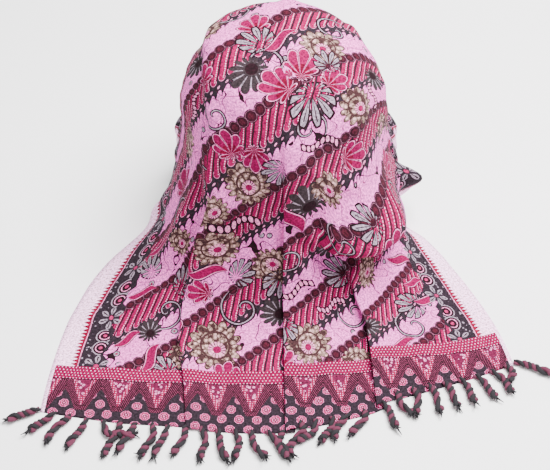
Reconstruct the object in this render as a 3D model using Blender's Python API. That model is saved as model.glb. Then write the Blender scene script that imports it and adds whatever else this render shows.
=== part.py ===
"""A fringed batik cloth laid over a domed display stand.

It is modelled about the stand's upright axis, and at the end moved so that the middle of the whole
footprint is at the origin. The front of the cloth faces -Y: it runs down the dome's front, lies on
the table as an apron and ends in a fringe. The back hangs behind the dome.
"""

from math import cos, pi, radians, sin

import bmesh
import bpy
import numpy as np
from mathutils import Matrix

# Driving sizes, in metres.
CLOTH_WIDTH = 0.64  # selvedge to selvedge
CLOTH_LENGTH = 0.88  # front hem to back hem, at the middle of the cloth
CLOTH_WALL = 0.0016
GAP = 0.0003  # between pieces that touch
STAND_RADIUS = 0.113
STAND_FOOT_RADIUS = 0.104
STAND_SHOULDER = 0.218  # height at which the dome starts
STAND_HEIGHT = 0.340
DOME_SQUARENESS = 2.4  # 2 is a true half ellipse
STAND_CLEARANCE = 0.0022  # from the stand to the middle of the cloth's wall
STAND_FOOT_EDGE = 0.004  # how much is taken off the foot's edge
FRINGE_REACH = 0.060
FRINGE_DEPTH = 0.008
FRINGE_FAN = 0.036  # how far the corner tassels lean out past the selvedges
FRINGE_FAN_EASE = 3  # 1 leans them evenly, and more keeps the lean to the corners

# How finely the cloth is faceted.
CELLS_ACROSS = 42
CELLS_ALONG = 48
STAND_SIDES = 40
DOME_STEPS = 10
FRINGE_STEPS = 30
WELD = 0.00005
SHARP_ANGLE = 50  # degrees, over which an edge is shaded sharp

# The cloth's centre line, one row a section: how far the section is from the front hem along the
# cloth, then where its middle is, from the dome's axis.
CENTRE_LINE = (
    # along    y       z
    (0.000, -0.330, 0.000),
    (0.085, -0.246, 0.005),
    (0.170, -0.176, 0.042),
    (0.250, -0.141, 0.116),
    (0.330, -0.128, 0.196),
    (0.400, -0.114, 0.268),
    (0.470, -0.069, 0.321),
    (0.543, 0.000, 0.342),
    (0.620, 0.072, 0.319),
    (0.700, 0.119, 0.255),
    (0.800, 0.134, 0.156),
    (0.880, 0.142, 0.076),
)

# The same sections' left and right halves: where each is half way out, and at its selvedge.
LEFT_HALF = (
    # half way x  y       z       selvedge x  y       z
    (-0.146, -0.326, 0.000, -0.297, -0.318, 0.000),
    (-0.143, -0.244, 0.002, -0.289, -0.235, 0.000),
    (-0.135, -0.174, 0.026, -0.271, -0.156, 0.000),
    (-0.119, -0.120, 0.078, -0.237, -0.082, 0.000),
    (-0.112, -0.084, 0.150, -0.178, -0.012, 0.006),
    (-0.113, -0.046, 0.210, -0.144, 0.002, 0.056),
    (-0.119, -0.022, 0.246, -0.128, 0.008, 0.092),
    (-0.121, 0.004, 0.256, -0.123, 0.018, 0.108),
    (-0.116, 0.034, 0.246, -0.121, 0.034, 0.106),
    (-0.109, 0.066, 0.212, -0.120, 0.050, 0.096),
    (-0.107, 0.094, 0.140, -0.121, 0.062, 0.080),
    (-0.108, 0.106, 0.072, -0.122, 0.068, 0.068),
)
RIGHT_HALF = (
    # half way x  y       z       selvedge x  y       z
    (0.146, -0.306, 0.000, 0.293, -0.268, 0.000),
    (0.140, -0.222, 0.002, 0.273, -0.186, 0.000),
    (0.123, -0.156, 0.026, 0.233, -0.114, 0.000),
    (0.112, -0.108, 0.078, 0.191, -0.050, 0.000),
    (0.112, -0.076, 0.150, 0.156, -0.002, 0.010),
    (0.115, -0.042, 0.210, 0.142, 0.006, 0.058),
    (0.120, -0.020, 0.246, 0.130, 0.010, 0.092),
    (0.121, 0.004, 0.256, 0.123, 0.018, 0.108),
    (0.116, 0.034, 0.246, 0.121, 0.034, 0.106),
    (0.109, 0.066, 0.212, 0.120, 0.050, 0.096),
    (0.107, 0.094, 0.140, 0.121, 0.062, 0.080),
    (0.108, 0.106, 0.072, 0.122, 0.068, 0.068),
)

# The front hem is cut in a bow: how much shorter the cloth is there, from selvedge to selvedge.
HEM_BOW = (
    # across   shorter by
    (-0.320, 0.018),
    (-0.270, 0.008),
    (-0.160, 0.003),
    (0.000, 0.000),
    (0.160, 0.016),
    (0.320, 0.034),
)
HEM_BOW_SHARE = 0.25  # share of the length over which the bow dies out

# How the halves are joined into one smooth section: the slopes at its middle and half way out, in
# shares of the distance there, and how far that slope turns down where the cloth hangs steeply.
MIDDLE_SLOPE = 1.08
HALF_WAY_SLOPE = 0.525
STEEP_TURN = 0.62

# The largest folds, one row each: from one point of the flat cloth to another, across and along
# it, how wide the fold is and how far it stands out.
FOLDS = (
    # across  along    across  along    width   height
    (0.006, -0.020, 0.002, 0.200, 0.022, 0.008),
    (0.002, 0.200, 0.000, 0.420, 0.018, 0.006),
    (0.130, -0.020, 0.126, 0.130, 0.024, 0.009),
    (0.126, 0.130, 0.080, 0.250, 0.022, 0.008),
    (-0.132, 0.020, -0.142, 0.150, 0.026, 0.009),
    (-0.142, 0.150, -0.100, 0.330, 0.030, 0.012),
    (0.090, 0.250, 0.230, 0.290, 0.024, 0.012),
    (0.270, 0.385, 0.335, 0.400, 0.034, 0.022),
)

FOLD_SPREAD = 0.6  # of a fold's width, where it falls to about a third of its height

# The spare cloth at the dome's sides hangs in upright pleats.
PLEAT_DEPTH = 0.008
PLEAT_START, PLEAT_END = 0.44, 0.88  # along the cloth
PLEAT_FADE = 0.05
PLEAT_COUNT = 4.5
PLEAT_FROM = 0.52  # share of the half width at which they begin
PLEAT_OUTWARD = 0.5  # more cloth swings out than in
PLEAT_STAGGER = 0.6  # in radians of a pleat, so that the two sides differ


def clear_scene():
    for old in list(bpy.data.objects):
        bpy.data.objects.remove(old, do_unlink=True)


def material(name, colour, roughness):
    made = bpy.data.materials.new(name)
    made.use_nodes = True
    shader = made.node_tree.nodes["Principled BSDF"]
    shader.inputs["Base Color"].default_value = (*colour, 1)
    shader.inputs["Roughness"].default_value = roughness
    shader.inputs["Metallic"].default_value = 0
    return made


def add_object(name, bm, finish):
    """Makes the bmesh an object, its faces pointing out and its round faces shaded smooth."""
    bmesh.ops.recalc_face_normals(bm, faces=bm.faces)
    mesh = bpy.data.meshes.new(name)
    bm.to_mesh(mesh)
    bm.free()
    mesh.materials.append(finish)
    mesh.shade_smooth()
    mesh.set_sharp_from_angle(angle=radians(SHARP_ANGLE))
    made = bpy.data.objects.new(name, mesh)
    bpy.context.scene.collection.objects.link(made)
    return made


def ramp(low, high, x):
    """A smooth step from 0 at low to 1 at high."""
    t = np.clip((x - low) / (high - low), 0, 1)
    return t * t * (3 - 2 * t)


def hermite(a, b, slope_a, slope_b, t):
    t2, t3 = t * t, t * t * t
    return (
        (2 * t3 - 3 * t2 + 1) * a
        + (t3 - 2 * t2 + t) * slope_a
        + (3 * t2 - 2 * t3) * b
        + (t3 - t2) * slope_b
    )


def smooth_curve(places, values, x):
    """A smooth curve through one value a place, read at x."""
    places, values = np.asarray(places), np.asarray(values)
    step = np.diff(places)[:, None]
    rise = np.diff(values, axis=0) / step
    slope = np.empty_like(values)
    slope[1:-1] = (rise[:-1] * step[1:] + rise[1:] * step[:-1]) / (step[:-1] + step[1:])
    slope[0] = 1.5 * rise[0] - 0.5 * slope[1]
    slope[-1] = 1.5 * rise[-1] - 0.5 * slope[-2]
    i = np.clip(np.searchsorted(places, x) - 1, 0, len(step) - 1)
    t = ((x - places[i]) / step[i, 0])[..., None]
    return hermite(values[i], values[i + 1], slope[i] * step[i], slope[i + 1] * step[i], t)


def draped(across, along):
    """Where points of the flat cloth lie before any fold, from the dome's axis."""
    centre_rows = np.array(CENTRE_LINE)
    places = centre_rows[:, 0]
    middle = np.zeros(across.shape + (3,))
    middle[..., 1:] = smooth_curve(places, centre_rows[:, 1:], along)
    halves = {-1: np.array(LEFT_HALF), 1: np.array(RIGHT_HALF)}
    way_out = {side: smooth_curve(places, rows, along) for side, rows in halves.items()}
    skew = (way_out[1][..., 1] - way_out[-1][..., 1]) / 2
    out = np.empty_like(middle)
    for side, found in way_out.items():
        half, edge = found[..., :3], found[..., 3:]
        start = np.zeros_like(middle)
        start[..., 0] = side * MIDDLE_SLOPE * np.linalg.norm(half - middle, axis=-1)
        start[..., 1] = side * skew
        turn = (edge - middle) * HALF_WAY_SLOPE
        steep = (half - edge)[..., 2] / np.linalg.norm(half - edge, axis=-1)
        turn[..., 0] *= 1 - STEEP_TURN * np.clip(steep, 0, 1)
        end = 2 * (edge - half) - turn
        share = np.abs(across) / (CLOTH_WIDTH / 2) * 2
        inner = hermite(middle, half, start, turn, np.clip(share, 0, 1)[..., None])
        outer = hermite(half, edge, turn, end, np.clip(share - 1, 0, 1)[..., None])
        this_side = across * side >= 0
        out[this_side] = np.where(share[..., None] <= 1, inner, outer)[this_side]
    return out


def off_the_stand(points):
    """Moves points out to where the cloth just clears the stand."""
    width = STAND_RADIUS + STAND_CLEARANCE
    cap = STAND_HEIGHT - STAND_SHOULDER + STAND_CLEARANCE
    radius = np.linalg.norm(points[..., :2], axis=-1)
    rise = np.maximum(points[..., 2] - STAND_SHOULDER, 0)
    n = DOME_SQUARENESS
    reach = ((radius / width) ** n + (rise / cap) ** n) ** (1 / n)
    push = np.maximum(1 / reach, 1)
    moved = points.copy()
    moved[..., :2] *= push[..., None]
    moved[..., 2] += rise * (push - 1)
    return moved


def fold_heights(across, along):
    """How far the folds lift each point off the drape."""
    height = np.zeros(across.shape)
    for across_1, along_1, across_2, along_2, width, lift in FOLDS:
        run = np.array((across_2 - across_1, along_2 - along_1))
        length = np.linalg.norm(run)
        offset = np.stack((across - across_1, along - along_1), axis=-1)
        t = np.clip(offset @ run / length**2, 0, 1)
        away = np.linalg.norm(offset - t[..., None] * run, axis=-1)
        height = np.maximum(height, lift * np.exp(-((away / (width * FOLD_SPREAD)) ** 2)))
    return height


def pleat_swing(across, along):
    """How far the side pleats push each point away from the dome's axis."""
    share = np.abs(across) / (CLOTH_WIDTH / 2)
    depth = PLEAT_DEPTH * ramp(PLEAT_FROM, 1, share)
    depth = depth * ramp(PLEAT_START - PLEAT_FADE, PLEAT_START + PLEAT_FADE, along)
    turn = 2 * pi * PLEAT_COUNT * (along - PLEAT_START) / (PLEAT_END - PLEAT_START)
    return depth * (PLEAT_OUTWARD + np.sin(turn + np.sign(across) * PLEAT_STAGGER))


def facing(points):
    """The direction out of the cloth at each point of a grid."""
    n = np.cross(np.gradient(points, axis=0), np.gradient(points, axis=1))
    return n / np.linalg.norm(n, axis=-1, keepdims=True)


def cloth_grid(across_steps, along_steps):
    """The cloth's middle surface: flat places, points and outward directions."""
    share = np.linspace(0, 1, along_steps + 1)
    across = np.linspace(-CLOTH_WIDTH / 2, CLOTH_WIDTH / 2, across_steps + 1)
    across, share = np.meshgrid(across, share, indexing="ij")
    bow = np.interp(across, *np.array(HEM_BOW).T)
    along = share * CLOTH_LENGTH + bow * (1 - ramp(0, HEM_BOW_SHARE, share))
    points = off_the_stand(draped(across, along))
    points += facing(points) * fold_heights(across, along)[..., None]
    swing = pleat_swing(across, along)
    radius = np.linalg.norm(points[..., :2], axis=-1)
    points[..., :2] += points[..., :2] / radius[..., None] * swing[..., None]
    points = off_the_stand(points)
    points[..., 2] = np.maximum(points[..., 2], CLOTH_WALL / 2)
    return points, facing(points)


def shell(bm, top, bottom):
    """A closed wall between two grids of points."""
    rows, columns = top.shape[:2]
    skins = []
    for grid in (top, bottom):
        skins.append([[bm.verts.new(grid[i, j]) for j in range(columns)] for i in range(rows)])
    for skin in skins:
        for i in range(rows - 1):
            for j in range(columns - 1):
                bm.faces.new((skin[i][j], skin[i + 1][j], skin[i + 1][j + 1], skin[i][j + 1]))
    border = [e for e in bm.edges if e.is_boundary]
    bmesh.ops.bridge_loops(bm, edges=border)


def make_cloth():
    points, out = cloth_grid(CELLS_ACROSS, CELLS_ALONG)
    top = points + out * CLOTH_WALL / 2
    bottom = points - out * CLOTH_WALL / 2
    bottom[..., 2] = np.maximum(bottom[..., 2], 0)
    bm = bmesh.new()
    shell(bm, top, bottom)
    return add_object("batik_cloth", bm, material("printed_batik", (0.62, 0.25, 0.38), 0.85))


def make_fringe(name, row, finish):
    """The space that one end's tassels fill: a plain slab that follows the hem."""
    points, _ = cloth_grid(FRINGE_STEPS, CELLS_ALONG)
    hem = points[:, row].copy()
    if row == 0:
        hem[:, 2] = FRINGE_DEPTH / 2
    along = np.gradient(hem, axis=0)
    along /= np.linalg.norm(along, axis=-1, keepdims=True)
    if row == 0:  # lies on the table, fanned out past the cloth's corners
        away = np.cross(along, (0, 0, 1))
        lean = np.linspace(-1, 1, FRINGE_STEPS + 1)[:, None] ** FRINGE_FAN_EASE
        fan = along * lean * FRINGE_FAN
        far = hem + away * FRINGE_REACH + fan
    else:  # hangs straight down
        away = np.array((0, 0, -1))
        far = hem + away * FRINGE_REACH
    near = hem + away * (CLOTH_WALL / 2 + GAP)
    thick = np.cross(along, away)
    thick *= FRINGE_DEPTH / 2 / np.linalg.norm(thick, axis=-1, keepdims=True)
    bm = bmesh.new()
    front, back = ((near + side, far + side) for side in (thick, -thick))
    shell(bm, np.stack(front, axis=1), np.stack(back, axis=1))
    return add_object(name, bm, finish)


def make_stand():
    """A plain block of foam, turned to a dome."""
    foot = STAND_FOOT_RADIUS - STAND_FOOT_EDGE
    profile = [(0, 0), (foot, 0), (STAND_FOOT_RADIUS, STAND_FOOT_EDGE)]
    for step in range(DOME_STEPS + 1):
        angle = pi / 2 * step / DOME_STEPS
        out = STAND_RADIUS * max(cos(angle), 0) ** (2 / DOME_SQUARENESS)
        rise = (STAND_HEIGHT - STAND_SHOULDER) * sin(angle) ** (2 / DOME_SQUARENESS)
        profile.append((out, STAND_SHOULDER + rise))
    bm = bmesh.new()
    verts = [bm.verts.new((x, 0, z)) for x, z in profile]
    edges = [bm.edges.new(pair) for pair in zip(verts[:-1], verts[1:])]
    bmesh.ops.spin(
        bm,
        geom=verts + edges,
        cent=(0, 0, 0),
        axis=(0, 0, 1),
        angle=2 * pi,
        steps=STAND_SIDES,
        use_merge=True,
    )
    bmesh.ops.remove_doubles(bm, verts=bm.verts, dist=WELD)
    return add_object("display_stand", bm, material("pale_foam", (0.85, 0.84, 0.82), 0.7))


def centre_footprint(objects):
    """Moves every piece together, so that the origin is under the middle of the whole part."""
    corners = []
    for made in objects:
        points = np.array([vertex.co for vertex in made.data.vertices])
        corners += [points.min(axis=0), points.max(axis=0)]
    middle = (np.min(corners, axis=0) + np.max(corners, axis=0)) / 2
    for made in objects:
        made.data.transform(Matrix.Translation((-middle[0], -middle[1], 0)))


clear_scene()
twisted = material("twisted_fringe", (0.24, 0.12, 0.16), 0.9)
pieces = [
    make_cloth(),
    make_fringe("fringe_front", 0, twisted),
    make_fringe("fringe_back", -1, twisted),
    make_stand(),
]
centre_footprint(pieces)
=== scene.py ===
"""A fringed batik cloth laid over a domed foam stand, with its front end spread on the table."""

from math import pi, radians

import bmesh
import bpy
import numpy as np
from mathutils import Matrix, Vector


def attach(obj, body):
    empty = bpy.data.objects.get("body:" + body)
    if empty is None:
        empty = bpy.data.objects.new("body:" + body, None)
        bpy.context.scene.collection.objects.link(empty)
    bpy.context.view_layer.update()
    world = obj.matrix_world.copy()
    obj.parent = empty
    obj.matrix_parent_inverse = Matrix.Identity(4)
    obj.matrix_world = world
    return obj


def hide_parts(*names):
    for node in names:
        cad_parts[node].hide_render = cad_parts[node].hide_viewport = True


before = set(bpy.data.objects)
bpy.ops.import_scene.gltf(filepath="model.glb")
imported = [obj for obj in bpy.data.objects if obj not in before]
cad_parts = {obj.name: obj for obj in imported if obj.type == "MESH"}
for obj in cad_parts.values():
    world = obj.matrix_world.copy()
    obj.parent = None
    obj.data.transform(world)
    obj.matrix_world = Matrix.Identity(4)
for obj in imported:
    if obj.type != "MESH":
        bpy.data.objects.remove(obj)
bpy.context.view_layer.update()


# The shape of the worn cloth, worked out from where it is on the flat cloth. The sections and the
# stand are those of the solids. Distances are from the dome's axis, and are moved to the row's
# frame at the end.
CLOTH_WIDTH = 0.64
CLOTH_LENGTH = 0.88
CLOTH_THICKNESS = 0.0007
AXIS = np.array((0.0015, 0.12224, 0))
STAND_RADIUS = 0.113
STAND_SHOULDER = 0.218
STAND_HEIGHT = 0.340
DOME_SQUARENESS = 2.4
STAND_CLEARANCE = 0.0022
TABLE_CLEARANCE = 0.0001

CENTRE_LINE = (
    # along    y       z
    (0.000, -0.330, 0.000),
    (0.085, -0.246, 0.005),
    (0.170, -0.176, 0.042),
    (0.250, -0.141, 0.116),
    (0.330, -0.128, 0.196),
    (0.400, -0.114, 0.268),
    (0.470, -0.069, 0.321),
    (0.543, 0.000, 0.342),
    (0.620, 0.072, 0.319),
    (0.700, 0.119, 0.255),
    (0.800, 0.134, 0.156),
    (0.880, 0.142, 0.076),
)
LEFT_HALF = (
    # half way x  y       z       selvedge x  y       z
    (-0.146, -0.326, 0.000, -0.297, -0.318, 0.000),
    (-0.143, -0.244, 0.002, -0.289, -0.235, 0.000),
    (-0.135, -0.174, 0.026, -0.271, -0.156, 0.000),
    (-0.119, -0.120, 0.078, -0.237, -0.082, 0.000),
    (-0.112, -0.084, 0.150, -0.178, -0.012, 0.006),
    (-0.113, -0.046, 0.210, -0.144, 0.002, 0.056),
    (-0.119, -0.022, 0.246, -0.128, 0.008, 0.092),
    (-0.121, 0.004, 0.256, -0.123, 0.018, 0.108),
    (-0.116, 0.034, 0.246, -0.121, 0.034, 0.106),
    (-0.109, 0.066, 0.212, -0.120, 0.050, 0.096),
    (-0.107, 0.094, 0.140, -0.121, 0.062, 0.080),
    (-0.108, 0.106, 0.072, -0.122, 0.068, 0.068),
)
RIGHT_HALF = (
    (0.146, -0.306, 0.000, 0.293, -0.268, 0.000),
    (0.140, -0.222, 0.002, 0.273, -0.186, 0.000),
    (0.123, -0.156, 0.026, 0.239, -0.114, 0.000),
    (0.112, -0.108, 0.078, 0.199, -0.050, 0.000),
    (0.112, -0.076, 0.150, 0.156, -0.002, 0.010),
    (0.115, -0.042, 0.210, 0.142, 0.006, 0.058),
    (0.120, -0.020, 0.246, 0.130, 0.010, 0.092),
    (0.121, 0.004, 0.256, 0.123, 0.018, 0.108),
    (0.116, 0.034, 0.246, 0.121, 0.034, 0.106),
    (0.109, 0.066, 0.212, 0.120, 0.050, 0.096),
    (0.107, 0.094, 0.140, 0.121, 0.062, 0.080),
    (0.108, 0.106, 0.072, 0.122, 0.068, 0.068),
)
HEM_BOW = (
    # across   shorter by
    (-0.320, 0.018),
    (-0.270, 0.008),
    (-0.160, 0.003),
    (0.000, 0.000),
    (0.160, 0.016),
    (0.320, 0.034),
)

# The pleats, from left to right, in each of which the cloth to the right laps over that to the
# left. A row is one place up the pleat: how far along, where it lies across the drape, the cloth
# that it takes up, and how far its edge stands up.
PLEATS = (
    (
        (-0.02, -0.126, 0.016, 0.004),
        (0.06, -0.134, 0.018, 0.006),
        (0.13, -0.144, 0.024, 0.012),
        (0.19, -0.142, 0.024, 0.015),
        (0.25, -0.124, 0.020, 0.015),
        (0.33, -0.100, 0.010, 0.013),
        (0.43, -0.092, 0.000, 0.006),
    ),
    (
        (-0.02, 0.008, 0.026, 0.005),
        (0.10, 0.006, 0.026, 0.009),
        (0.20, 0.002, 0.022, 0.011),
        (0.34, 0.000, 0.012, 0.008),
        (0.44, 0.000, 0.000, 0.003),
    ),
    (
        (-0.02, 0.130, 0.024, 0.005),
        (0.06, 0.128, 0.024, 0.011),
        (0.13, 0.126, 0.022, 0.015),
        (0.20, 0.104, 0.016, 0.012),
        (0.26, 0.080, 0.000, 0.004),
    ),
)
PLEAT_TURN = 0.017  # the cloth in which a pleat turns back on itself
PLEAT_FALL = 0.030  # how far a pleat takes to come down to the rest
PLEAT_SLIP = (0.0, 0.008, 0.016)  # how much higher each pleat's right side lies along the cloth
SLIP_FADE = 0.16  # how far across from its pleat a slip dies out
SLIP_ENDS = (0.04, 0.28)  # where along the cloth it starts to die out, and where it is gone
LIFT_STARTS, LIFT_FULL = 0.35, 0.45  # before and after a pleat's middle, in shares of its turn

# The tuck on the right, where the upper cloth hangs over the lower: across, along, cloth taken up,
# how far it stands out.
TUCK = (
    (0.048, 0.256, 0.000, 0.000),
    (0.068, 0.259, 0.026, 0.024),
    (0.110, 0.268, 0.044, 0.036),
    (0.160, 0.282, 0.042, 0.034),
    (0.220, 0.302, 0.024, 0.018),
    (0.280, 0.322, 0.004, 0.003),
    (0.320, 0.332, 0.000, 0.000),
)
TUCK_TURN = 0.008  # half the cloth in which the tuck turns back on itself
TUCK_FALL = 0.050  # how far the tuck takes to come down to the rest
TUCK_LIFT_STARTS = 0.75  # before its middle, in shares of its turn
TUCK_GIVEN_BACK = (0.25, 0.50)  # where along the drape the cloth it takes up is made good

# Soft ridges, and troughs where the height is under 0: from one point of the flat cloth to
# another, across and along it, then width and height.
FOLDS = (
    (-0.104, 0.400, -0.112, 0.280, 0.026, 0.007),
    (-0.128, 0.400, -0.135, 0.280, 0.022, -0.004),
    (0.285, 0.385, 0.335, 0.400, 0.034, 0.034),
    (-0.285, 0.350, -0.330, 0.345, 0.030, 0.010),
    (0.240, 0.330, 0.300, 0.300, 0.030, -0.008),
    (0.060, 0.270, 0.160, 0.300, 0.040, 0.004),
    (0.030, 0.330, 0.120, 0.360, 0.030, 0.003),
    (-0.240, 0.060, -0.180, 0.180, 0.030, 0.003),
    (-0.060, 0.020, -0.050, 0.120, 0.026, 0.003),
    (0.060, 0.010, 0.060, 0.140, 0.026, 0.003),
    (0.200, 0.030, 0.190, 0.150, 0.026, 0.003),
    (0.250, 0.060, 0.220, 0.180, 0.020, 0.003),
    (-0.200, 0.250, -0.150, 0.330, 0.024, 0.005),
    (-0.230, 0.300, -0.180, 0.370, 0.018, -0.003),
    (-0.100, 0.464, 0.090, 0.466, 0.006, 0.0008),
    (-0.110, 0.420, 0.110, 0.424, 0.005, 0.0007),
    (-0.030, 0.150, -0.020, 0.260, 0.020, 0.003),
    (-0.160, 0.300, -0.230, 0.240, 0.030, 0.007),
    (-0.190, 0.200, -0.290, 0.160, 0.022, 0.004),
    (-0.070, 0.300, -0.040, 0.230, 0.016, -0.003),
    (0.030, 0.370, 0.110, 0.330, 0.012, 0.003),
    (0.080, 0.400, 0.100, 0.330, 0.014, -0.003),
    (-0.080, 0.440, -0.070, 0.360, 0.012, 0.002),
    (0.020, 0.300, 0.050, 0.250, 0.016, 0.004),
    (0.130, 0.200, 0.200, 0.230, 0.018, -0.004),
    (0.060, 0.232, 0.200, 0.262, 0.026, -0.008),
    (0.010, 0.250, 0.040, 0.200, 0.018, 0.005),
)
FOLD_SPREAD = 0.6  # of a fold's width, where it falls to about a third of its height
RIPPLES = (
    # height  across  along   start
    (0.0009, 9.1, 5.3, 1.0),
    (0.0007, -14.3, 9.7, 2.3),
    (0.0004, 27.7, 19.1, 0.4),
)

# The cloth leans a little to the left at the crown, and stands out at the sides lower down, where
# the spare cloth hangs in a few uneven pleats.
CROWN_LEAN = 0.004
CROWN_FOOT, CROWN_TOP = 0.22, 0.34  # the heights where the lean starts and is whole
BELLY = 0.008
BELLY_ACROSS = (0.06, 0.10)  # how far from the axis it starts, and where it is whole
BELLY_STARTS = (0.05, 0.09)  # the heights where it starts and is whole
BELLY_ENDS = (0.11, 0.18)  # and where it starts to die out and is gone
SWING = 0.014
SWING_ACROSS = (0.46, 0.95)  # in shares of half the width
SWING_ALONG = (0.40, 0.50)
SWING_ENDS = (0.12, 0.20)  # the heights where it starts to die out and is least
SWING_LOST = 0.9  # the share of it that is gone there
SWING_BEHIND = (0.000, 0.060)  # from the axis backwards
SWING_EVERYWHERE, SWING_MORE_RIGHT, SWING_MORE_BEHIND = 0.25, 0.3, 0.5  # shares of its depth
SWING_START, SWING_LENGTH = 0.44, 0.44
SWING_COUNT = 3.8
SWING_SHIFT = 0.6  # how far the two sides are out of step, in radians either way
SWING_OUT, SWING_UNEVEN = 0.65, 0.8

# How the halves are joined into one smooth section: the slopes at its middle and half way out, in
# shares of the distance there, and how far that slope turns down where the cloth hangs steeply.
MIDDLE_SLOPE = 1.08
HALF_WAY_SLOPE = 0.525
STEEP_TURN = 0.62


def ramp(low, high, x):
    """A smooth step from 0 at low to 1 at high."""
    t = np.clip((x - low) / (high - low), 0, 1)
    return t * t * (3 - 2 * t)


def hermite(a, b, slope_a, slope_b, t):
    """The cubic curve from a to b that has the given slopes at its ends, read at t."""
    t2, t3 = t * t, t * t * t
    return (
        (2 * t3 - 3 * t2 + 1) * a
        + (t3 - 2 * t2 + t) * slope_a
        + (3 * t2 - 2 * t3) * b
        + (t3 - t2) * slope_b
    )


def smooth_curve(places, values, x):
    """A smooth curve through one value a place, read at x."""
    places, values = np.asarray(places), np.asarray(values)
    step = np.diff(places)[:, None]
    rise = np.diff(values, axis=0) / step
    slope = np.empty_like(values)
    slope[1:-1] = (rise[:-1] * step[1:] + rise[1:] * step[:-1]) / (step[:-1] + step[1:])
    slope[0] = 1.5 * rise[0] - 0.5 * slope[1]
    slope[-1] = 1.5 * rise[-1] - 0.5 * slope[-2]
    i = np.clip(np.searchsorted(places, x) - 1, 0, len(step) - 1)
    t = ((x - places[i]) / step[i, 0])[..., None]
    return hermite(values[i], values[i + 1], slope[i] * step[i], slope[i + 1] * step[i], t)


def off_the_stand(points):
    """Moves points out to where the cloth just clears the stand."""
    width = STAND_RADIUS + STAND_CLEARANCE
    cap = STAND_HEIGHT - STAND_SHOULDER + STAND_CLEARANCE
    radius = np.linalg.norm(points[..., :2], axis=-1)
    rise = np.maximum(points[..., 2] - STAND_SHOULDER, 0)
    n = DOME_SQUARENESS
    reach = ((radius / width) ** n + (rise / cap) ** n) ** (1 / n)
    push = np.maximum(1 / reach, 1)
    moved = points.copy()
    moved[..., :2] *= push[..., None]
    moved[..., 2] += rise * (push - 1)
    return moved


def draped(across, along):
    """Where points of the flat cloth lie before any fold."""
    centre_rows = np.array(CENTRE_LINE)
    places = centre_rows[:, 0]
    middle = np.zeros(across.shape + (3,))
    middle[..., 1:] = smooth_curve(places, centre_rows[:, 1:], along)
    halves = {-1: np.array(LEFT_HALF), 1: np.array(RIGHT_HALF)}
    way_out = {side: smooth_curve(places, rows, along) for side, rows in halves.items()}
    skew = (way_out[1][..., 1] - way_out[-1][..., 1]) / 2
    out = np.empty_like(middle)
    for side, found in way_out.items():
        half, edge = found[..., :3], found[..., 3:]
        start = np.zeros_like(middle)
        start[..., 0] = side * MIDDLE_SLOPE * np.linalg.norm(half - middle, axis=-1)
        start[..., 1] = side * skew
        turn = (edge - middle) * HALF_WAY_SLOPE
        steep = (half - edge)[..., 2] / np.linalg.norm(half - edge, axis=-1)
        turn[..., 0] *= 1 - STEEP_TURN * np.clip(steep, 0, 1)
        end = 2 * (edge - half) - turn
        share = np.abs(across) / (CLOTH_WIDTH / 2) * 2
        inner = hermite(middle, half, start, turn, np.clip(share, 0, 1)[..., None])
        outer = hermite(half, edge, turn, end, np.clip(share - 1, 0, 1)[..., None])
        this_side = across * side >= 0
        out[this_side] = np.where(share[..., None] <= 1, inner, outer)[this_side]
    return off_the_stand(out)


def pleats_at(along):
    """For each pleat: where its middle is across the flat cloth, the cloth taken up, its lift."""
    read = [[np.interp(along, *np.array(rows)[:, (0, k)].T) for k in (1, 2, 3)] for rows in PLEATS]
    taken_up = sum(taken for _, taken, _ in read)
    left_over = (CLOTH_WIDTH - taken_up) / CLOTH_WIDTH
    before = 0
    found = []
    for where, taken, lift in read:
        flat = (where + CLOTH_WIDTH / 2) * left_over - CLOTH_WIDTH / 2 + before + taken / 2
        found.append((flat, taken, lift))
        before = before + taken
    return found, taken_up


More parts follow.
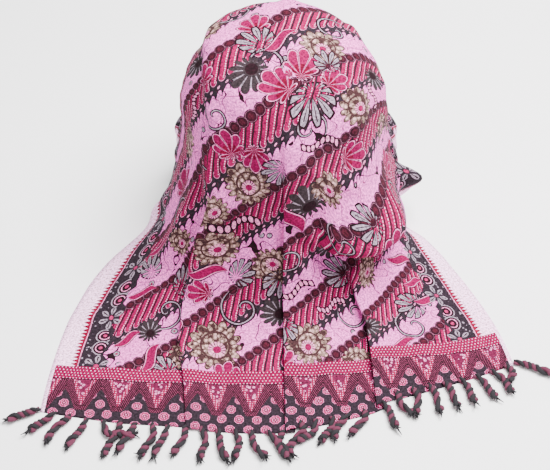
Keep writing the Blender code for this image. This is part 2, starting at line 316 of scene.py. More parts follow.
def worn(across, along):
    """Where points of the flat cloth lie when it is worn, folds and all."""
    # Each pleat takes up cloth, slides what is to its right up the drape, and lifts its own edge.
    pleats, taken_up = pleats_at(along)
    drape_across, slip, lift = across.copy(), 0, 0
    for (where, taken, height), slide in zip(pleats, PLEAT_SLIP):
        past = ramp(where - PLEAT_TURN / 2, where + PLEAT_TURN / 2, across)
        drape_across -= taken * past
        fades = 1 - ramp(0, SLIP_FADE, across - where)
        slip = slip + slide * past * fades * (1 - ramp(*SLIP_ENDS, along))
        rise = ramp(where - LIFT_STARTS * PLEAT_TURN, where + LIFT_FULL * PLEAT_TURN, across)
        beyond = np.maximum(across - where - PLEAT_TURN / 2, 0)
        lift = lift + height * rise * np.exp(-((beyond / PLEAT_FALL) ** 2))
    half = CLOTH_WIDTH / 2
    drape_across = (drape_across + half) * CLOTH_WIDTH / (CLOTH_WIDTH - taken_up) - half
    drape_along = along + slip

    # The tuck takes up cloth along the drape.
    rows = np.array(TUCK)
    where, taken, height = (np.interp(drape_across, rows[:, 0], rows[:, k]) for k in (1, 2, 3))
    from_tuck = drape_along - taken / 2
    past = ramp(where - TUCK_TURN, where + TUCK_TURN, from_tuck)
    beyond = np.maximum(from_tuck - where - TUCK_TURN, 0)
    rise = ramp(where - TUCK_LIFT_STARTS * TUCK_TURN, where + TUCK_TURN, from_tuck)
    lift = lift + height * rise * np.exp(-((beyond / TUCK_FALL) ** 2))
    drape_along = drape_along - taken * past + taken * ramp(*TUCK_GIVEN_BACK, drape_along)

    # The folds and the ripples only lift the cloth.
    for across_1, along_1, across_2, along_2, width, height in FOLDS:
        run = np.array((across_2 - across_1, along_2 - along_1))
        offset = np.stack((drape_across - across_1, drape_along - along_1), axis=-1)
        t = np.clip(offset @ run / (run @ run), 0, 1)
        away = np.linalg.norm(offset - t[..., None] * run, axis=-1)
        lift = lift + height * np.exp(-((away / (width * FOLD_SPREAD)) ** 2))
    for size, count_across, count_along, start in RIPPLES:
        turn = 2 * pi * (count_across * drape_across + count_along * drape_along) + start
        lift = lift + size * np.sin(turn)

    # The lift is outwards from the drape, whose facing comes from points a millimetre away.
    near = 0.001
    points = draped(drape_across, drape_along)
    points[..., 0] -= CROWN_LEAN * ramp(CROWN_FOOT, CROWN_TOP, points[..., 2])
    out = np.cross(
        draped(drape_across + near, drape_along) - draped(drape_across - near, drape_along),
        draped(drape_across, drape_along + near) - draped(drape_across, drape_along - near),
    )
    out /= np.linalg.norm(out, axis=-1, keepdims=True)
    points += out * lift[..., None]

    # The sides' spare cloth swings in and out from the axis, and bellies to the left and right.
    share = np.abs(drape_across) / half
    depth = SWING * ramp(*SWING_ACROSS, share) * ramp(*SWING_ALONG, drape_along)
    behind = ramp(*SWING_BEHIND, points[..., 1])
    depth *= SWING_EVERYWHERE + SWING_MORE_RIGHT * (drape_across > 0) + SWING_MORE_BEHIND * behind
    depth *= 1 - SWING_LOST * ramp(*SWING_ENDS, points[..., 2])
    turn = 2 * pi * SWING_COUNT * (drape_along - SWING_START) / SWING_LENGTH
    turn = turn + np.sign(drape_across) * SWING_SHIFT
    swing = depth * (SWING_OUT + np.sin(turn + SWING_UNEVEN * np.sin(turn / 2)))
    radius = np.linalg.norm(points[..., :2], axis=-1)
    points[..., :2] += points[..., :2] / radius[..., None] * swing[..., None]
    belly = ramp(*BELLY_ACROSS, np.abs(points[..., 0])) * ramp(*BELLY_STARTS, points[..., 2])
    belly *= 1 - ramp(*BELLY_ENDS, points[..., 2])
    points[..., 0] += np.sign(points[..., 0]) * BELLY * belly
    points = off_the_stand(points)
    points[..., 2] = np.maximum(points[..., 2], CLOTH_THICKNESS / 2 + TABLE_CLEARANCE)
    return points + AXIS


# The cloth: one length of thin plain-weave cotton, printed on both sides. It is a grid that is
# finer across each pleat and the tuck, laid out flat and then worn, and given its thickness.
COLUMNS = (24, 28, 20, 28, 20, 28, 30)
ROWS = (62, 30, 128)
NEAR_PLEAT = 0.020
BELOW_TUCK, ABOVE_TUCK, TUCK_MIDDLE = 0.018, 0.030, 0.004

bm = bmesh.new()
bmesh.ops.create_grid(bm, x_segments=sum(COLUMNS), y_segments=sum(ROWS), size=0.5)
cloth_mesh = bpy.data.meshes.new("batik_cloth_fine")
bm.to_mesh(cloth_mesh)
bm.free()
corners = np.empty(len(cloth_mesh.vertices) * 3)
cloth_mesh.vertices.foreach_get("co", corners)
column, row = (corners.reshape(-1, 3)[:, :2] + 0.5).T

rough_across = (column - 0.5) * CLOTH_WIDTH
tuck_along = np.interp(rough_across, *np.array(TUCK)[:, :2].T) + TUCK_MIDDLE
hem_along = np.interp(rough_across, *np.array(HEM_BOW).T)
knots = np.cumsum((0,) + ROWS) / sum(ROWS)
far_end = np.full_like(row, CLOTH_LENGTH)
stops = [hem_along, tuck_along - BELOW_TUCK, tuck_along + ABOVE_TUCK, far_end]
along = np.zeros_like(row)
for i in range(len(ROWS)):
    here = (row >= knots[i]) & (row <= knots[i + 1] + 1e-9)
    t = (row - knots[i]) / (knots[i + 1] - knots[i])
    along[here] = (stops[i] + (stops[i + 1] - stops[i]) * t)[here]

stops = [np.full_like(row, -CLOTH_WIDTH / 2)]
for where, _, _ in pleats_at(along)[0]:
    stops += [where - NEAR_PLEAT, where + NEAR_PLEAT]
stops.append(np.full_like(row, CLOTH_WIDTH / 2))
knots = np.cumsum((0,) + COLUMNS) / sum(COLUMNS)
across = np.zeros_like(row)
for i in range(len(COLUMNS)):
    here = (column >= knots[i] - 1e-9) & (column <= knots[i + 1] + 1e-9)
    t = (column - knots[i]) / (knots[i + 1] - knots[i])
    across[here] = (stops[i] + (stops[i + 1] - stops[i]) * t)[here]

# The front hem is cut so that it lies in the drape's bow, whatever slips in the pleats.
slipped = np.zeros_like(along)
for (where, _, _), slide in zip(pleats_at(along)[0], PLEAT_SLIP):
    past = ramp(where - PLEAT_TURN / 2, where + PLEAT_TURN / 2, across)
    slipped += slide * past * (1 - ramp(0, SLIP_FADE, across - where))
along -= slipped * (1 - ramp(0, 0.3, row))

cloth_mesh.vertices.foreach_set("co", worn(across, along).ravel())
flat_map = cloth_mesh.uv_layers.new(name="Flat")
corner_of = np.empty(len(cloth_mesh.loops), dtype=np.int64)
cloth_mesh.loops.foreach_get("vertex_index", corner_of)
flat_map.data.foreach_set("uv", np.stack((across, along), axis=-1)[corner_of].ravel())
cloth_mesh.shade_smooth()
cloth = bpy.data.objects.new("batik_cloth_fine", cloth_mesh)
bpy.context.scene.collection.objects.link(cloth)
wall = cloth.modifiers.new("thickness", "SOLIDIFY")
wall.thickness = CLOTH_THICKNESS
wall.offset = 0


# The print. Every node is added by one function, and sums of its results add Math nodes.
class Value:
    """The output of a shader node."""

    def __init__(self, socket):
        self.socket = socket


def add(kind, *inputs, out=0, **settings):
    """Adds a shader node to the tree in hand, and sets or links its inputs in order."""
    node = tree.nodes.new("ShaderNode" + kind)
    for name, setting in settings.items():
        setattr(node, name, setting)
    for socket, given in zip(node.inputs, inputs):
        if isinstance(given, Value):
            tree.links.new(given.socket, socket)
        elif given is not None:
            socket.default_value = given
    return Value(node.outputs[out])


for name, operation in (
    ("add", "ADD"),
    ("sub", "SUBTRACT"),
    ("mul", "MULTIPLY"),
    ("truediv", "DIVIDE"),
    ("pow", "POWER"),
    ("mod", "FLOORED_MODULO"),
    ("lt", "LESS_THAN"),
    ("gt", "GREATER_THAN"),
):
    setattr(
        Value,
        f"__{name}__",
        lambda a, b, operation=operation: add("Math", a, b, operation=operation),
    )
    setattr(
        Value,
        f"__r{name}__",
        lambda a, b, operation=operation: add("Math", b, a, operation=operation),
    )
Value.__abs__ = lambda a: add("Math", a, operation="ABSOLUTE")


def srgb(colour):
    """A colour as linear light, from its usual six digits."""
    parts = [int(colour[i : i + 2], 16) / 255 for i in (0, 2, 4)]
    return (*(p / 12.92 if p <= 0.04045 else ((p + 0.055) / 1.055) ** 2.4 for p in parts), 1)


def paint(where, coat):
    """Lays a colour over what is drawn so far."""
    global colour
    colour = add("MixRGB", where, colour, coat)


# The dyes, as they are before the light of the studio.
GROUND = srgb("E46CBE")
MARGIN = srgb("FCC6EC")
CHARCOAL = srgb("241A22")
INK = srgb("1C0810")
MAROON = srgb("2C0818")
CRIMSON = srgb("7C0040")
ROSE = srgb("880644")
PALE = srgb("DC80B0")
TAN = srgb("82665E")
LEAF = srgb("8C7A8A")
HOT = srgb("780038")
WINE = srgb("200C14")
BLOOM = srgb("A02058")
DUSK = srgb("2E2428")

# Printed batik cotton, not shiny, with a coarse speckled weave.
batik = bpy.data.materials.new("printed batik cotton")
batik.use_nodes = True
tree = batik.node_tree
shader = tree.nodes["Principled BSDF"]

flat = add("UVMap", uv_map="Flat")
true_u, true_v = (add("SeparateXYZ", flat, out=i) for i in (0, 1))
# The hand's unsteadiness moves every drawn line by a millimetre or two.
u = true_u + (add("TexNoise", flat, None, 26.0, 1.0) - 0.5) * 0.006
v = true_v + (add("TexNoise", flat, None, 31.0, 1.0) - 0.5) * 0.006
drawn = add("CombineXYZ", u, v)

# The diagonal bands: a chain of discs, fingers hanging from it, and a dark strip with a toothed
# lower edge. They rise to the right and repeat up the cloth.
SLOPE = 0.72
BAND_STEP = 0.106
BAND_START = 0.146
CELL = 0.0098

fall = BAND_STEP - 0.012 - ((v - u * SLOPE - BAND_START - 0.012) % BAND_STEP)
cell_x = ((u + fall * 0.22) % CELL) - CELL / 2
drop = fall - cell_x * SLOPE
colour = GROUND

tooth = abs(cell_x) * (2 / CELL)
strip_end = tooth * tooth * 0.009 + 0.0545
paint((fall > 0.004) * (fall < strip_end), CHARCOAL)
spot_x = ((u + 0.003) % CELL) - CELL / 2
spot_y = fall - 0.0500 - spot_x * SLOPE
spot = (spot_x * 0.8 + spot_y * 0.6) ** 2 * 6 + (spot_y * 0.8 - spot_x * 0.6) ** 2 < 0.0000060
paint(spot, PALE)

past_end = add("Math", drop - 0.0400, 0.0, operation="MAXIMUM")
finger = add("Math", cell_x * cell_x + past_end * past_end, operation="SQRT")
hanging = fall > 0.004
paint((finger < 0.0043) * hanging, PALE)
paint((finger < 0.0038) * hanging, ROSE)
outline = (finger < 0.0044) * (finger > 0.0037)
paint(outline * (drop < 0.038) * hanging, INK)
stitch = ((drop % 0.0026) < 0.0016) * (drop < 0.040) * hanging
paint((abs(cell_x - 0.0020) < 0.00055) * stitch, srgb("F0A8CC"))

# The chain of discs, in step along the band's own direction.
DISC_STEP = 0.0124
bead = ((u * 0.8115 + v * 0.5843) % DISC_STEP) - DISC_STEP / 2
disc = add("Math", bead * bead + fall * fall * 0.66, operation="SQRT")
for radius, coat in (
    (0.0074, INK),
    (0.0064, srgb("7C4C62")),
    (0.0059, MAROON),
    (0.0034, srgb("40101F")),
):
    paint(disc < radius, coat)

# Thin loose lines, as of the wax pen, and small buds over the ground.
curl = add("TexNoise", flat, None, 24.0, 1.0, 0.4)
paint((abs(curl - 0.50) < 0.0042) * (fall > 0.056), INK)
curl = add("TexNoise", flat, None, 37.0, 0.0)
paint((abs(curl - 0.52) < 0.0045) * (fall > 0.050), srgb("4A1428"))
bud = add("TexVoronoi", flat, None, 41.0)
paint((bud < 0.20) * (fall > 0.060), INK)
paint((bud < 0.15) * (fall > 0.060), LEAF)
paint((bud < 0.07) * (fall > 0.060), CRIMSON)


def placed(places):
    """A point's x and y in whichever motif it is in, in shares of its size, and if it is in one."""
    offset, scale, heading = (0, 0, 0), 0.0, 0.0
    for across, along, size, turned in places:
        here = add("VectorMath", drawn, (across, along, 0), operation="SUBTRACT")
        near = add("VectorMath", here, operation="LENGTH", out=1) < size
        kept = add("VectorMath", here, None, None, near, operation="SCALE")
        offset = add("VectorMath", offset, kept)
        scale = add("Math", near, 1 / size, scale, operation="MULTIPLY_ADD")
        heading = add("Math", near, radians(turned), heading, operation="MULTIPLY_ADD")
    distance = add("VectorMath", offset, operation="LENGTH", out=1) * scale
    sideways, upward = (add("SeparateXYZ", offset, out=i) for i in (0, 1))
    turn = add("Math", upward, sideways, operation="ARCTAN2") - heading
    x = add("Math", turn, operation="COSINE") * distance
    y = add("Math", turn, operation="SINE") * distance
    return x, y, distance, turn, distance > 0.001


def petals(x, y, count):
    """The distance from the base of a flower, and how far each point is from a petal's midline."""
    distance = add("Math", x * x + y * y, operation="SQRT")
    turn = add("Math", y, x, operation="ARCTAN2")
    return distance, abs((turn * (count / (2 * pi))) % 1 - 0.5) * 2


# Dark tendrils, each a hooked scroll.
TENDRILS = (
    (-0.062, 0.172, 0.032, 20),
    (-0.020, 0.500, 0.026, 200),
    (-0.052, 0.600, 0.024, 90),
    (0.060, 0.560, 0.028, 300),
    (0.112, 0.156, 0.026, 60),
    (0.212, 0.118, 0.028, 10),
    (-0.190, 0.172, 0.028, 130),
    (-0.076, 0.436, 0.024, 30),
    (0.030, 0.424, 0.024, 220),
    (0.182, 0.350, 0.028, 160),
    (-0.185, 0.306, 0.026, 310),
    (0.022, 0.245, 0.024, 80),
    (0.085, 0.300, 0.020, 20),
    (-0.120, 0.350, 0.024, 250),
)
x, y, r, turn, inside = placed(TENDRILS)
coil = abs((turn / (2 * pi) + r * 1.25) % 1 - 0.5)
inside = inside * (r < 0.94)
paint(inside * (coil < 0.12), INK)
paint(inside * (coil < 0.035), LEAF)

# Dark petal clusters.
CLUSTERS = (
    (-0.034, 0.486, 0.024, 160),
    (0.040, 0.332, 0.028, 20),
    (0.240, 0.300, 0.026, -20),
    (-0.020, 0.165, 0.022, 60),
    (-0.110, 0.530, 0.024, 100),
    (0.122, 0.505, 0.024, 220),
    (0.080, 0.252, 0.022, 140),
    (-0.210, 0.145, 0.018, 30),
    (0.150, 0.120, 0.018, 250),
)
x, y, r, turn, inside = placed(CLUSTERS)
reach, petal = petals(x, y + 0.3, 13)
flower = inside * (r < 0.97 - petal * petal * 0.34)
paint(flower, DUSK)
paint(flower * (petal > 0.82) * (reach > 0.4), LEAF)
paint(flower * (reach < 0.30), INK)

# Chrysanthemums in dull brown: ringed heads of small curled petals, toothed round the edge.
MUMS = (
    (-0.090, 0.580, 0.026, 20),
    (0.046, 0.524, 0.026, -10),
    (0.088, 0.452, 0.026, 40),
    (0.162, 0.430, 0.022, -30),
    (-0.046, 0.352, 0.030, 0),
    (0.062, 0.350, 0.022, 60),
    (-0.094, 0.316, 0.024, 70),
    (-0.088, 0.260, 0.029, 20),
    (-0.020, 0.228, 0.028, 160),
    (-0.098, 0.122, 0.037, 15),
    (-0.160, 0.108, 0.022, 0),
    (-0.172, 0.268, 0.022, 25),
    (0.044, 0.114, 0.031, -20),
    (0.152, 0.214, 0.026, 45),
    (0.104, 0.086, 0.022, 0),
    (-0.170, 0.400, 0.026, 0),
    (0.205, 0.460, 0.024, 0),
    (0.150, 0.560, 0.026, 80),
)
x, y, r, turn, inside = placed(MUMS)
reach, petal = petals(x, y + 0.16, 15)
edge = 0.99 - petal * petal * 0.24
flower = inside * (r < edge)
paint(flower, srgb("30181A"))
paint(flower * (r < edge - 0.06) * (petal < 0.88), TAN)
curls = add("TexVoronoi", flat, None, 185.0)
paint(flower * (r < edge - 0.08) * (curls > 0.60), srgb("3A2224"))
paint(flower * (r < edge - 0.08) * (curls < 0.34), srgb("C8989A"))
paint(flower * (abs(r - 0.50) < 0.04), srgb("3A2224"))
paint(flower * (reach < 0.30) * (petal < 0.60), PALE)
paint(flower * (reach < 0.14), CRIMSON)

# Crimson lotuses, fans of veined petals.
LOTUSES = (
    (-0.088, 0.494, 0.018, 0),
    (0.022, 0.498, 0.021, 0),
    (-0.004, 0.474, 0.023, 60),
    (0.058, 0.480, 0.018, -50),
    (-0.066, 0.402, 0.021, 20),
    (-0.034, 0.386, 0.020, 190),
    (0.094, 0.394, 0.019, -70),
    (0.200, 0.386, 0.020, -20),
    (0.150, 0.304, 0.023, 20),
    (0.134, 0.266, 0.023, 185),
    (-0.118, 0.200, 0.019, 70),
    (-0.086, 0.082, 0.020, 0),
    (0.006, 0.094, 0.020, 0),
    (-0.200, 0.350, 0.022, 30),
    (0.250, 0.430, 0.022, 30),
    (-0.030, 0.560, 0.020, 10),
)
x, y, r, turn, inside = placed(LOTUSES)
reach, petal = petals(x, y + 0.62, 11)
paint(inside * (r < 0.99 - petal * petal * 0.30), INK)
paint(inside * (r < 0.93 - petal * petal * 0.30), PALE)
flower = inside * (r < 0.87 - petal * petal * 0.30)
paint(flower, CRIMSON)
paint(flower * (petal > 0.84), PALE)
paint(flower * (petal > 0.93), INK)
paint(flower * (reach < 0.62) * (petal < 0.5), srgb("5E0020"))

# Grey-white leaf sprays with black outlines.
SPRAYS = (
    (0.034, 0.450, 0.028, 185),
    (-0.028, 0.534, 0.022, 40),
    (0.050, 0.504, 0.016, 10),
    (-0.014, 0.202, 0.022, 170),
    (-0.172, 0.216, 0.022, -40),
    (-0.190, 0.084, 0.024, 80),
    (0.012, 0.132, 0.020, 170),
    (-0.010, 0.370, 0.020, 130),
    (0.218, 0.152, 0.024, 100),
    (0.090, 0.214, 0.022, 80),
    (-0.236, 0.238, 0.020, 20),
    (0.110, 0.330, 0.020, 100),
    (-0.060, 0.220, 0.020, 300),
)
x, y, r, turn, inside = placed(SPRAYS)
reach, petal = petals(x, y + 0.55, 13)
along_leaf = (reach - 0.85) / 0.70
leaf = petal + along_leaf * along_leaf * 0.7
paint(inside * (leaf < 0.90) * (r < 0.97), INK)
paint(inside * (leaf < 0.60) * (r < 0.88), LEAF)
paint(inside * (petal < 0.10) * (r < 0.70), INK)

# Single crimson leaves, waved.
RED_LEAVES = (
    (-0.230, 0.266, 0.022, 20),
    (-0.236, 0.200, 0.020, 10),
    (-0.236, 0.131, 0.019, 30),
    (-0.202, 0.104, 0.022, 60),
    (0.248, 0.158, 0.020, -10),
    (0.232, 0.228, 0.022, -15),
    (0.020, 0.310, 0.030, 120),
    (0.240, 0.190, 0.018, 0),
    (0.000, 0.530, 0.022, 30),
    (-0.104, 0.226, 0.024, -10),
    (0.192, 0.244, 0.020, 40),
    (-0.150, 0.160, 0.018, 100),
    (0.190, 0.090, 0.018, 10),
)
x, y, r, turn, inside = placed(RED_LEAVES)
blade = abs(y - add("Math", x * 2.6, operation="SINE") * 0.22) / (1.02 - x * x)
paint(inside * (blade < 0.40), INK)
paint(inside * (blade < 0.33), PALE)
paint(inside * (blade < 0.27), CRIMSON)

# Beaded vines.
VINES = (
    (-0.064, 0.294, 0.036, 5),
    (0.030, 0.196, 0.028, 200),
    (0.080, 0.168, 0.024, 20),
    (0.046, 0.405, 0.026, 10),
    (-0.120, 0.452, 0.028, 70),
    (0.120, 0.470, 0.024, 120),
)
x, y, r, turn, inside = placed(VINES)
wave = abs(y - add("Math", x * 4.4, operation="SINE") * 0.16)
bead = abs((x * 4.5) % 1 - 0.5)
inside = inside * (abs(x) < 0.92)
paint(inside * (wave < 0.20), INK)
paint(inside * (bead * bead * 0.16 + wave * wave < 0.022), PALE)

# The selvedge borders: dark, with a jagged inner edge, and stars and scrolls by turns.
BORDER_STEP = 0.0757
from_edge = CLOTH_WIDTH / 2 - abs(true_u)
drawn_edge = CLOTH_WIDTH / 2 - abs(u)
jag = abs((v * 62) % 1 - 0.5) * 0.010 + abs((v * 23) % 1 - 0.5) * 0.018
paint(drawn_edge < 0.058 + jag, CHARCOAL)
fleck = add("TexVoronoi", flat, None, 190.0)
paint((fleck < 0.24) * (drawn_edge < 0.046), LEAF)

x = (drawn_edge - 0.054) / 0.018
y = ((((v - 0.012) / BORDER_STEP + 0.5) % 1) - 0.5) * (BORDER_STEP / 0.018)
r, petal = petals(x, y, 6)
along_leaf = (r - 0.55) / 0.45
leaf = petal + along_leaf * along_leaf * 0.8
paint(leaf < 0.60, LEAF)
paint((petal < 0.14) * (r < 0.8), INK)
paint(r < 0.16, BLOOM)

y = ((((v - 0.012) / BORDER_STEP) % 1) - 0.5) * (BORDER_STEP / 0.018)
for shift, facing in ((0.56, 1), (-0.56, -1)):
    ring_y = y - shift
    ring = add("Math", x * x + ring_y * ring_y, operation="SQRT")
    opening = x + ring_y * (0.35 * facing) < 0.30
    paint((ring < 0.66) * opening, INK)
    paint((abs(ring - 0.58) < 0.045) * opening, LEAF)
    paint((abs(ring - 0.36) < 0.035) * opening, PALE)
    paint(ring < 0.14, BLOOM)

# Outside the dark border: a thin rose line, a red line with teeth, and the bare margin.
paint(from_edge < 0.0325, PALE)
paint(from_edge < 0.0312, srgb("740028"))
teeth = abs((true_v * 190) % 1 - 0.5) * 2
paint(from_edge < 0.0292 - teeth * 0.0072, MARGIN)

# The end borders: a red band of dots, a row of hanging triangles, and blooms on a dark ground.
BLOOM_ROW = 0.0130
BLOOM_STEP = 0.0215
ARCH_STEP = 0.0440
end = add("Math", true_v, CLOTH_LENGTH - true_v, operation="MINIMUM")
bordered = (end < 0.086) * (from_edge > 0.005)
paint(bordered, CHARCOAL)

row = add("Math", end / BLOOM_ROW, operation="FLOOR")
bloom_x = ((u + (row % 2) * (BLOOM_STEP / 2) + 0.004) % BLOOM_STEP) - BLOOM_STEP / 2
bloom_y = (end % BLOOM_ROW) - BLOOM_ROW / 2 + (v - true_v) * 0.6
bloom, petal = petals(bloom_x, bloom_y * 1.1, 8)
ruffle = petal * 0.0007
paint(bordered * (bloom < 0.0062 - ruffle), PALE)
paint(bordered * (bloom < 0.0058 - ruffle), BLOOM)
paint(bordered * (bloom < 0.0036 + ruffle), srgb("5C0826"))
paint(bordered * (abs(bloom - 0.0030) < 0.0005) * (petal < 0.6), PALE)
paint(bordered * (bloom < 0.0010), PALE)

down = 0.067 - end
side = abs(((u + 0.010) % ARCH_STEP) - ARCH_STEP / 2) / (ARCH_STEP / 2)
reach = add("Math", (side * 1.45) ** 1.3 * 0.026 + 0.015, 0.043, operation="MINIMUM")
hanging = bordered * (down < reach)
paint(hanging, WINE)
strand = abs((side * 9 + down * 260) % 1 - 0.5)
paint(hanging * (strand < 0.10), srgb("8C3458"))
paint(hanging * (abs(down - reach + 0.006) < 0.0006), INK)
wedge = (side - 0.34) * 0.056
inner = bordered * (down < wedge)
paint(inner, srgb("7C0834"))
dot_x, dot_y = ((u * 330) % 1 - 0.5, (down * 330) % 1 - 0.5)
paint(inner * (dot_x * dot_x + dot_y * dot_y < 0.065), PALE)
core = bordered * (down < wedge - 0.011)
paint(core, srgb("5C1434"))
star = add("TexVoronoi", flat, None, 210.0)
paint(core * (star < 0.34), PALE)
paint(core * (star < 0.14), ROSE)

band = (end > 0.067) * bordered
paint(band, HOT)
dot_row = add("Math", end * 255, operation="FLOOR")
dot_x = (u * 235 + (dot_row % 2) * 0.5) % 1 - 0.5
dot_y = (end * 255) % 1 - 0.5
paint(band * (dot_x * dot_x * 1.6 + dot_y * dot_y < 0.036), srgb("F0A8CC"))
paint(band * (end < 0.0682), INK)

# The weave: lighter and darker threads, and flecks.
grain = add("TexNoise", flat, None, 400.0, 2.0, 0.75) * 3.6 - 0.82
stretched = add("VectorMath", flat, (1.0, 0.12, 1.0), operation="MULTIPLY")
threads = add("TexNoise", stretched, None, 800.0, 1.0)
grain = grain * (threads * 0.30 + 0.85)
grey = add("CombineColor", grain, grain, grain)
colour = add("MixRGB", 1.0, colour, grey, blend_type="MULTIPLY")
tree.links.new(colour.socket, shader.inputs["Base Color"])
shader.inputs["Roughness"].default_value = 0.85
shader.inputs["Specular IOR Level"].default_value = 0.12
bump = add("Bump", 0.25, 0.0004, None, grain)
tree.links.new(bump.socket, shader.inputs["Normal"])
cloth_mesh.materials.append(batik)


# The fringe: the warp's own ends, twisted two and two into dark and rose tassels that lie on the
# table at the front and hang at the back. Each is two strands wound about a path, and frayed.
def finish(name, colour, roughness):
    """A plain material."""
    made = bpy.data.materials.new(name)
    made.use_nodes = True
    made.node_tree.nodes["Principled BSDF"].inputs["Base Color"].default_value = srgb(colour)
    made.node_tree.nodes["Principled BSDF"].inputs["Roughness"].default_value = roughness
    return made


def tube(bm, centres, radii, sides, material):
    """A closed round tube along the centres."""
    tangents = np.gradient(centres, axis=0)
    tangents /= np.linalg.norm(tangents, axis=-1, keepdims=True)
    first = np.cross(tangents, (0.31, 0.17, 0.93))
    first /= np.linalg.norm(first, axis=-1, keepdims=True)
    second = np.cross(tangents, first)
    rings = []
    for centre, radius, a, b in zip(centres, radii, first, second):
        angles = [2 * pi * k / sides for k in range(sides)]
        ring = [centre + radius * (a * np.cos(t) + b * np.sin(t)) for t in angles]
        rings.append([bm.verts.new(place) for place in ring])
    faces = [rings[0], rings[-1]]
    for lower, upper in zip(rings[:-1], rings[1:]):
        faces += [(lower[k - 1], lower[k], upper[k], upper[k - 1]) for k in range(sides)]
    for corners in faces:
        bm.faces.new(corners).material_index = material


TASSEL_STEPS = 30
STRAND = 0.0028  # each strand's radius
WIND = 0.0022  # how far it winds from the tassel's middle
FRAYED_ENDS = 11
THREAD = (0.0014, 0.0011, 0.0004)  # a frayed end's radii, from its root
random = np.random.default_rng(11)


def tassel(bm, path, twist_step=0.0145):
    """Two strands wound about the path, and the loose ends of their threads."""
    share = np.linspace(0, 1, TASSEL_STEPS)
    stops = np.linspace(0, 1, len(path))
    line = np.stack([np.interp(share, stops, np.array(path)[:, k]) for k in range(3)], axis=-1)
    for _ in range(3):
        line[1:-1] = (line[:-2] + line[1:-1] * 2 + line[2:]) / 4
    steps = np.linalg.norm(np.diff(line, axis=0), axis=-1)
    travelled = np.concatenate(([0], np.cumsum(steps)))
    tangents = np.gradient(line, axis=0)
    tangents /= np.linalg.norm(tangents, axis=-1, keepdims=True)
    first = np.cross(tangents, (0.31, 0.17, 0.93))
    first /= np.linalg.norm(first, axis=-1, keepdims=True)
    second = np.cross(tangents, first)
    width = 0.70 + 0.30 * ramp(0, 0.3, share) + 0.2 * ramp(0.6, 1, share)
    width += random.normal(0, 0.03, TASSEL_STEPS)
    start = random.uniform(0, 2 * pi)
    for strand in (0, 1):
        wound = travelled / twist_step + 0.25 * np.sin(travelled * 170 + start)
        angle = (start + pi * strand + 2 * pi * wound)[:, None]
        centres = line + (first * np.cos(angle) + second * np.sin(angle)) * (WIND * width)[:, None]
        tube(bm, centres, STRAND * width, 6, strand)
    for _ in range(FRAYED_ENDS):
        spread = random.normal(0, 0.0026, 3)
        ahead = tangents[-1] * random.uniform(0.002, 0.007)
        far = line[-1] + ahead + spread
        far[2] = max(far[2], 0.0010)
        middle = line[-1] + ahead * 0.5 + spread * 0.4
        middle[2] = max(middle[2], 0.0014)
        near = line[-1] - tangents[-1] * 0.003 + spread * 0.2
        near[2] = max(near[2], 0.0014)
        tube(bm, np.array((near, middle, far)), THREAD, 5, 0)


def fringe(name, bm):
    """Makes the tassels in the bmesh one object, in dark and rose yarn."""
    bmesh.ops.recalc_face_normals(bm, faces=bm.faces)
    mesh = bpy.data.meshes.new(name)
    bm.to_mesh(mesh)
    bm.free()
    mesh.shade_smooth()
    mesh.materials.append(dark_yarn)
    mesh.materials.append(rose_yarn)
    made = bpy.data.objects.new(name, mesh)
    bpy.context.scene.collection.objects.link(made)
    return made


# Matt twisted cotton yarn.
dark_yarn = finish("charcoal cotton yarn", "141016", 0.9)
rose_yarn = finish("mauve rose cotton yarn", "541C34", 0.9)

# From each tassel's root to its middle and its end, in millimetres: to the right, and outwards.
TASSELS = (
    (-16, 8, -36, 16),
    (-9, 12, -26, 25),
    (-14, 14, -24, 33),
    (-6, 18, -19, 37),
    (5, 19, 39, 20),
    (1, 14, -14, 44),
    (-6, 16, -17, 37),
    (4, 18, -10, 41),
    (-5, 20, -14, 40),
    (1, 18, -11, 36),
    (8, 21, 1, 40),
    (4, 21, 12, 40),
    (8, 20, 2, 38),
    (4, 18, 18, 34),
    (12, 16, 25, 36),
    (-7, 17, 10, 32),
    (5, 13, -13, 36),
    (-3, 20, -22, 30),
    (-1, 17, -14, 33),
    (-12, 16, -18, 34),
    (0, 14, -17, 31),
    (11, 16, 17, 36),
    (4, 20, 18, 32),
    (8, 18, 3, 36),
    (10, 16, 12, 36),
    (9, 14, 14, 34),
    (11, 15, 15, 32),
    (12, 14, 21, 31),
    (17, 16, 22, 30),
    (9, 14, 2, 26),
    (24, 9, 44, 18),
)
FRONT_ROOTS = (-0.316, 0.314)
ROOTS_DRAWN_IN = 0.94  # by the pleats, which take up some of the hem
IN_THE_HEM = 0.003
ROOT_HEIGHT = 0.0036
roots = np.linspace(*FRONT_ROOTS, len(TASSELS))
hem = np.linspace(-CLOTH_WIDTH / 2, CLOTH_WIDTH / 2, 1281)
low = np.interp(hem, *np.array(HEM_BOW).T)
low_points = worn(hem, low)
bm = bmesh.new()
for root, (middle_x, middle_y, end_x, end_y) in zip(roots, TASSELS):
    x = root * ROOTS_DRAWN_IN + AXIS[0]
    nearest = np.abs(low_points[:, 0] - x).argmin()
    start = low_points[nearest] + (0, IN_THE_HEM, 0)
    height = (STRAND + WIND) * 1.25
    middle = start + np.array((middle_x, -middle_y, 0)) / 1000
    far = start + np.array((end_x, -end_y, 0)) / 1000
    start[2], middle[2], far[2] = ROOT_HEIGHT, height, height
    bend = (start + middle) / 2 + (0.0012, 0, 0.001)
    tassel(bm, (start, bend, middle, (middle + far) / 2 - (0.0015, 0, 0), far))
front = fringe("fringe_front_tassels", bm)

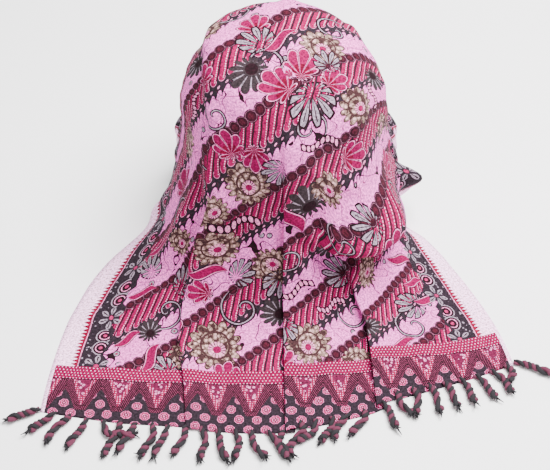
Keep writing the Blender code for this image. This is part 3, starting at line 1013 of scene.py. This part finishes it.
bm = bmesh.new()
for k in range(len(TASSELS)):
    across_hem = np.array([-0.312 + 0.624 * k / (len(TASSELS) - 1)])
    start = worn(across_hem, np.array([CLOTH_LENGTH]))[0] + (0, 0, 0.002)
    sway = random.uniform(-0.004, 0.004, (4, 2))
    path = [start]
    for i, fall in enumerate((0.016, 0.030, 0.043, 0.050 + 0.004 * (k % 3) / 2)):
        path.append(start + (sway[i][0], sway[i][1] * 0.5, -fall))
    tassel(bm, path)
back = fringe("fringe_back_tassels", bm)


# The stand: a plain domed block of pale foam, all but hidden under the cloth.
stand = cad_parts["display_stand"]
foam = finish("pale foam", "D9D5CE", 0.75)
tree = foam.node_tree
shader = tree.nodes["Principled BSDF"]
place = add("TexCoord", out=3)
pores = add("TexVoronoi", place, None, 420.0)
tone = add("MixRGB", pores, srgb("C9C5BD"), srgb("DEDAD3"))
tree.links.new(tone.socket, shader.inputs["Base Color"])
stand.data.materials.clear()
stand.data.materials.append(foam)

for piece, node, slot in (
    (cloth, "batik_cloth", "printed_batik"),
    (front, "fringe_front", "twisted_fringe"),
    (back, "fringe_back", "twisted_fringe"),
):
    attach(piece, "root")
    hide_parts(node)


# The table top, which is matt white board, the light and the camera.
bm = bmesh.new()
bmesh.ops.create_grid(bm, x_segments=1, y_segments=1, size=6)
floor_mesh = bpy.data.meshes.new("table_top")
bm.to_mesh(floor_mesh)
bm.free()
floor_mesh.materials.append(finish("matt white board", "FDFCFD", 0.9))
floor = bpy.data.objects.new("table_top", floor_mesh)
floor.location.z = -0.0002
bpy.context.scene.collection.objects.link(floor)

world = bpy.data.worlds.new("studio")
world.use_nodes = True
world.node_tree.nodes["Background"].inputs["Color"].default_value = (1, 1, 1, 1)
world.node_tree.nodes["Background"].inputs["Strength"].default_value = 0.5
bpy.context.scene.world = world
for name, place, size, power in (
    ("key", (0.60, 0.16, 2.0), 1.2, 190),
    ("fill", (-1.2, -1.0, 1.4), 1.4, 10),
):
    light = bpy.data.lights.new(name, "AREA")
    light.size = size
    light.energy = power
    lamp = bpy.data.objects.new(name, light)
    lamp.location = place
    towards = Vector((0, 0, 0.1)) - lamp.location
    lamp.rotation_euler = towards.to_track_quat("-Z", "Y").to_euler()
    bpy.context.scene.collection.objects.link(lamp)

camera_data = bpy.data.cameras.new("camera")
camera_data.lens = 77.9
camera_data.shift_x = -0.0164
camera_data.shift_y = -0.0303
camera = bpy.data.objects.new("camera", camera_data)
camera.location = (0.0015, -0.8813, 1.2820)
camera.rotation_euler = (radians(90 - 52), 0, 0)
bpy.context.scene.collection.objects.link(camera)
bpy.context.scene.camera = camera
